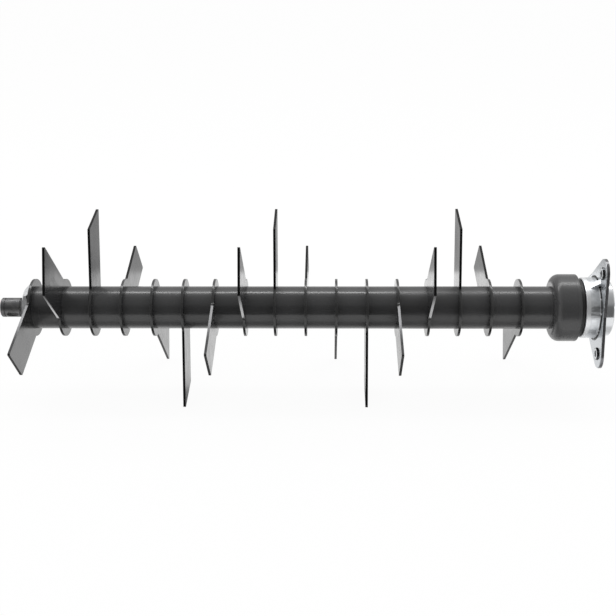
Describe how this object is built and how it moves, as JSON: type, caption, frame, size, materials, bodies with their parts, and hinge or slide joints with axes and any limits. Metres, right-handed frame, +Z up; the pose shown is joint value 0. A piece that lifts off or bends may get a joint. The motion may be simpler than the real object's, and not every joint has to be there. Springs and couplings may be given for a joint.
{
  "type": "scarifier roller",
  "caption": "Scarifier roller: flat slanted knives set at stepped angles along a sleeved shaft, with a drive stub at one end and a flanged bearing housing at the other.",
  "frame": {"origin": "on the shaft's axis, in the face of the flange that bolts to the machine", "axes": "+X along the shaft out of the flange, away from the knives; +Z up as the roller rests on its knife points"},
  "size_m": [0.5015, 0.1646, 0.1434],
  "materials": {
    "knife": "gloss black coat on cut sheet steel",
    "sleeve": "gloss black paint",
    "shaft": "blackened steel",
    "collar": "satin black paint",
    "zinc": "bright zinc plate",
    "casting": "cast, machined on its seats",
    "bearing_steel": "ground",
    "spring_steel": "phosphated",
    "cage": "moulded",
    "seal": "matte black"
  },
  "bodies": {
    "roller": {"shaft": "shaft", "clamp_nut": "zinc", "guard_collar": "collar", "bearing_inner_ring": "bearing_steel", "end_washer": "zinc", "end_screw": "zinc", "knife_01": "knife", "knife_02": "knife", "knife_03": "knife", "knife_04": "knife", "knife_05": "knife", "knife_06": "knife", "knife_07": "knife", "knife_08": "knife", "knife_09": "knife", "knife_10": "knife", "knife_11": "knife", "knife_12": "knife", "knife_13": "knife", "knife_14": "knife", "knife_15": "knife", "knife_16": "knife", "knife_17": "knife", "sleeve_01": "sleeve", "sleeve_02": "sleeve", "sleeve_03": "sleeve", "sleeve_04": "sleeve", "sleeve_05": "sleeve", "sleeve_06": "sleeve", "sleeve_07": "sleeve", "sleeve_08": "sleeve", "sleeve_09": "sleeve", "sleeve_10": "sleeve", "sleeve_11": "sleeve", "sleeve_12": "sleeve", "sleeve_13": "sleeve", "sleeve_14": "sleeve", "sleeve_15": "sleeve", "sleeve_16": "sleeve", "sleeve_17": "sleeve"},
    "housing": {"bearing_housing": "casting", "bearing_outer_ring": "bearing_steel", "bearing_seal_inner": "seal", "bearing_seal_outer": "seal", "retaining_ring": "spring_steel"},
    "ball_set": {"bearing_cage": "cage", "bearing_ball_1": "bearing_steel", "bearing_ball_2": "bearing_steel", "bearing_ball_3": "bearing_steel", "bearing_ball_4": "bearing_steel", "bearing_ball_5": "bearing_steel", "bearing_ball_6": "bearing_steel", "bearing_ball_7": "bearing_steel", "bearing_ball_8": "bearing_steel"}
  },
  "joints": [
    {"name": "housing_spin", "type": "hinge", "parent": "roller", "child": "housing", "pos_m": [0, 0, 0], "axis": [1, 0, 0], "continuous": true},
    {"name": "ball_set_spin", "type": "hinge", "parent": "roller", "child": "ball_set", "pos_m": [0, 0, 0], "axis": [1, 0, 0], "continuous": true}
  ],
  "couplings": [
    {"joint": "ball_set_spin", "follows": "housing_spin", "ratio": 0.6184}
  ]
}
